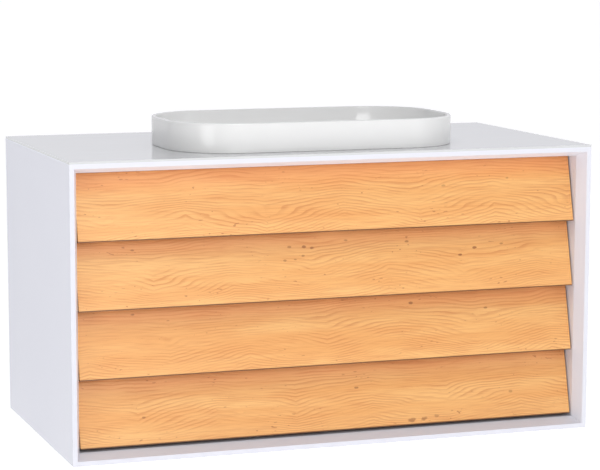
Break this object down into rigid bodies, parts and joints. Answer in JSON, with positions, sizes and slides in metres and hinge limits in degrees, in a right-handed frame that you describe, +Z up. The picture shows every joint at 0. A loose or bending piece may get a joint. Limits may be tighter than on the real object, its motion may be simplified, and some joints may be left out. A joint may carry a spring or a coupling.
{
  "type": "vanity unit with basin",
  "caption": "Wall-hung vanity with a half-recessed oblong basin on a glass top and drawers with lapped, leaning wood slat fronts in a bevelled white frame.",
  "frame": {"origin": "middle of the cabinet's width and depth, at the underside of the bottom panel", "axes": "+X along the width to the right seen from the front, +Y towards the wall, +Z up; the drawer fronts face -Y"},
  "size_m": [1, 0.525, 0.593],
  "materials": {
    "lacquered_board": "satin white lacquer over board",
    "melamine_board": "white melamine",
    "drawer_board": "light grey melamine",
    "oak_veneer": "clear satin lacquer over oak veneer",
    "beech": "plain turned wood",
    "enamelled_glass": "polished, white enamel on the back",
    "glazed_basin": "gloss white glaze",
    "sealant": "silicone",
    "gasket_rubber": "matt",
    "chromed_brass": "polished chrome plate",
    "zinced_steel": "bright zinc plate",
    "moulded_plastic": "fine matt texture"
  },
  "bodies": {
    "cabinet": {"left_side_panel": "lacquered_board", "right_side_panel": "lacquered_board", "bottom_panel": "lacquered_board", "top_panel": "lacquered_board", "upper_back_rail": "melamine_board", "lower_back_rail": "melamine_board", "rail_dowels": "beech", "glass_top": "enamelled_glass", "basin": "glazed_basin", "basin_seal_ring": "sealant", "waste_body": "chromed_brass", "waste_gasket": "gasket_rubber", "waste_nut": "chromed_brass", "trap_union_nut": "chromed_brass", "trap_inlet_pipe": "chromed_brass", "trap_slip_nut": "chromed_brass", "trap_bottle": "chromed_brass", "trap_cup": "chromed_brass", "trap_outlet_nut": "chromed_brass", "trap_outlet_pipe": "chromed_brass", "left_hanger": "zinced_steel", "right_hanger": "zinced_steel", "left_wall_plate": "zinced_steel", "right_wall_plate": "zinced_steel", "hanger_screws": "zinced_steel", "upper_left_cabinet_member": "zinced_steel", "upper_right_cabinet_member": "zinced_steel", "lower_left_cabinet_member": "zinced_steel", "lower_right_cabinet_member": "zinced_steel", "runner_screws": "zinced_steel"},
    "upper_drawer": {"slat_1": "oak_veneer", "slat_2": "oak_veneer", "upper_left_drawer_member": "zinced_steel", "upper_right_drawer_member": "zinced_steel", "upper_front_carrier": "drawer_board", "upper_front_cleats": "drawer_board", "upper_cleat_screws": "zinced_steel", "upper_drawer_left_side": "drawer_board", "upper_drawer_right_side": "drawer_board", "upper_drawer_bottom": "drawer_board", "upper_drawer_back_left": "drawer_board", "upper_drawer_back_right": "drawer_board", "upper_drawer_well": "moulded_plastic"},
    "lower_drawer": {"slat_3": "oak_veneer", "slat_4": "oak_veneer", "lower_left_drawer_member": "zinced_steel", "lower_right_drawer_member": "zinced_steel", "lower_front_carrier": "drawer_board", "lower_front_cleats": "drawer_board", "lower_cleat_screws": "zinced_steel", "lower_drawer_left_side": "drawer_board", "lower_drawer_right_side": "drawer_board", "lower_drawer_bottom": "drawer_board", "lower_drawer_back": "drawer_board"},
    "upper_middle_members": {"upper_left_middle_member": "zinced_steel", "upper_right_middle_member": "zinced_steel"},
    "lower_middle_members": {"lower_left_middle_member": "zinced_steel", "lower_right_middle_member": "zinced_steel"},
    "plug": {"waste_plug": "chromed_brass"}
  },
  "joints": [
    {"name": "upper_drawer_slide", "type": "slide", "parent": "cabinet", "child": "upper_drawer", "axis": [0, -1, 0], "range_m": [0, 0.35]},
    {"name": "lower_drawer_slide", "type": "slide", "parent": "cabinet", "child": "lower_drawer", "axis": [0, -1, 0], "range_m": [0, 0.35]},
    {"name": "upper_runner_slide", "type": "slide", "parent": "cabinet", "child": "upper_middle_members", "axis": [0, -1, 0], "range_m": [0, 0.175]},
    {"name": "lower_runner_slide", "type": "slide", "parent": "cabinet", "child": "lower_middle_members", "axis": [0, -1, 0], "range_m": [0, 0.175]},
    {"name": "waste_plug_slide", "type": "slide", "parent": "cabinet", "child": "plug", "axis": [0, 0, 1], "range_m": [0, 0.008]}
  ],
  "couplings": [
    {"joint": "upper_runner_slide", "follows": "upper_drawer_slide", "ratio": 0.5},
    {"joint": "lower_runner_slide", "follows": "lower_drawer_slide", "ratio": 0.5}
  ]
}
